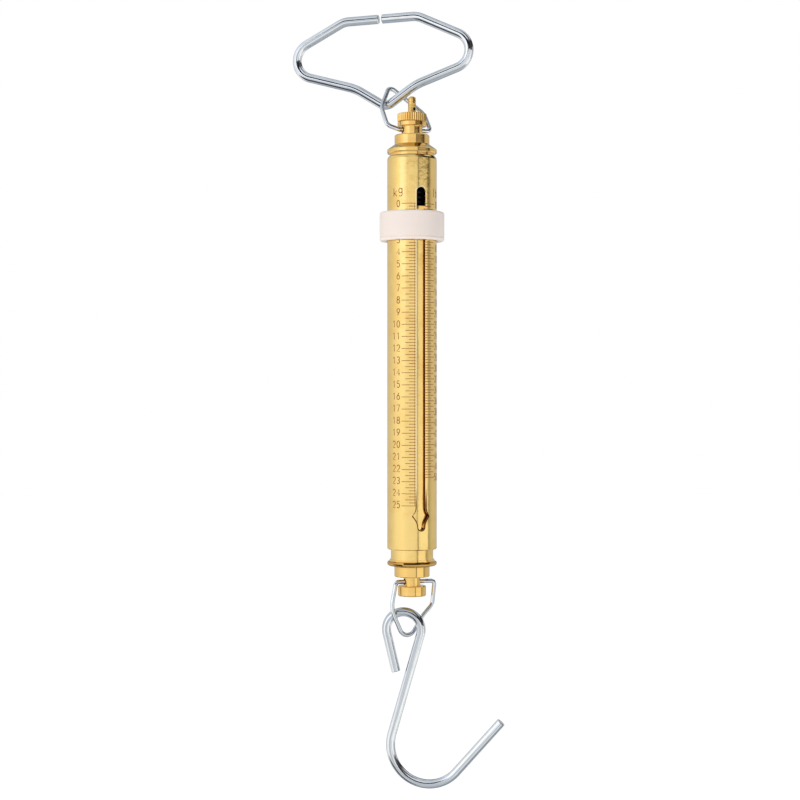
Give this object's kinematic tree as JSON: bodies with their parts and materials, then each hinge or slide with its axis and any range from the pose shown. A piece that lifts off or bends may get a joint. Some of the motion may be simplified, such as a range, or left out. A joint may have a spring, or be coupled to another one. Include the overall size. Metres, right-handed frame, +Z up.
{
  "type": "fishing scale",
  "caption": "Hanging spring balance: slotted tube with a sliding marker ring, bent wire handle, wire links and an open load hook.",
  "frame": {"origin": "centre of the handle's grip bar, on the wire axis at the gap between the two wire ends", "axes": "+Z up, against the pull of the load; the viewer of the scale stands on the -Y side; +X to the viewer's right"},
  "size_m": [0.1074, 0.0387, 0.3922],
  "materials": {
    "tube_brass": "drawn tube, lightly lacquered, satin bright",
    "turned_brass": "turned, fine tool marks",
    "bright_wire": "bright zinc-plated wire",
    "dark_steel": "plain steel, oiled",
    "white_plastic": "warm white moulded plastic, soft gloss"
  },
  "bodies": {
    "handle": {"handle": "bright_wire"},
    "upper_link": {"upper_link": "bright_wire"},
    "case": {"top_cap": "turned_brass", "outer_tube": "tube_brass", "guide_bush": "turned_brass"},
    "zero_nut": {"zero_nut": "turned_brass"},
    "zero_rod": {"zero_rod": "turned_brass", "keeper_pin": "dark_steel", "rod_nut": "turned_brass", "upper_plug": "dark_steel"},
    "marker_ring": {"marker_ring": "white_plastic"},
    "plunger": {"inner_tube": "tube_brass", "guide_collar": "turned_brass", "index": "turned_brass", "seat_ring": "turned_brass", "spring": "dark_steel", "lower_plug": "dark_steel", "anchor_stud": "dark_steel", "anchor_nut": "dark_steel", "bottom_cap": "turned_brass"},
    "lower_link": {"lower_link": "bright_wire"},
    "load_hook": {"load_hook": "bright_wire"}
  },
  "joints": [
    {"name": "link_swing", "type": "hinge", "parent": "handle", "child": "upper_link", "pos_m": [0.00293, -0.00079, -0.04414], "axis": [0.9656, -0.2587, 0.0253], "range_deg": [-36, 3.5]},
    {"name": "case_swing", "type": "hinge", "parent": "upper_link", "child": "case", "pos_m": [0.01603, -0.0085, -0.05797], "axis": [0.9285, 0.3714, 0], "range_deg": [0, 75]},
    {"name": "nut_turn", "type": "hinge", "parent": "case", "child": "zero_nut", "pos_m": [0.01603, -0.0085, -0.05797], "axis": [0, 0, 1], "range_deg": [-360, 360]},
    {"name": "rod_slide", "type": "slide", "parent": "case", "child": "zero_rod", "axis": [0, 0, 1], "range_m": [-0.0007, 0.0007]},
    {"name": "plunger_slide", "type": "slide", "parent": "case", "child": "plunger", "axis": [0, 0, -1], "range_m": [0, 0.152], "stiffness_N_per_m": 1626, "springref_m": -0.004, "deforming": ["spring"]},
    {"name": "marker_slide", "type": "slide", "parent": "case", "child": "marker_ring", "axis": [0, 0, -1], "range_m": [0, 0.15]},
    {"name": "lower_link_swing", "type": "hinge", "parent": "plunger", "child": "lower_link", "pos_m": [0.01603, -0.0085, -0.28567], "axis": [0.9285, 0.3714, 0], "range_deg": [-60, 60]},
    {"name": "hook_swing", "type": "hinge", "parent": "lower_link", "child": "load_hook", "pos_m": [0.01187, -0.00924, -0.30978], "axis": [0.2079, 0.9781, 0], "range_deg": [-45, 45]}
  ],
  "couplings": [
    {"joint": "nut_turn", "follows": "rod_slide", "rad_per_m": -8975.9}
  ]
}
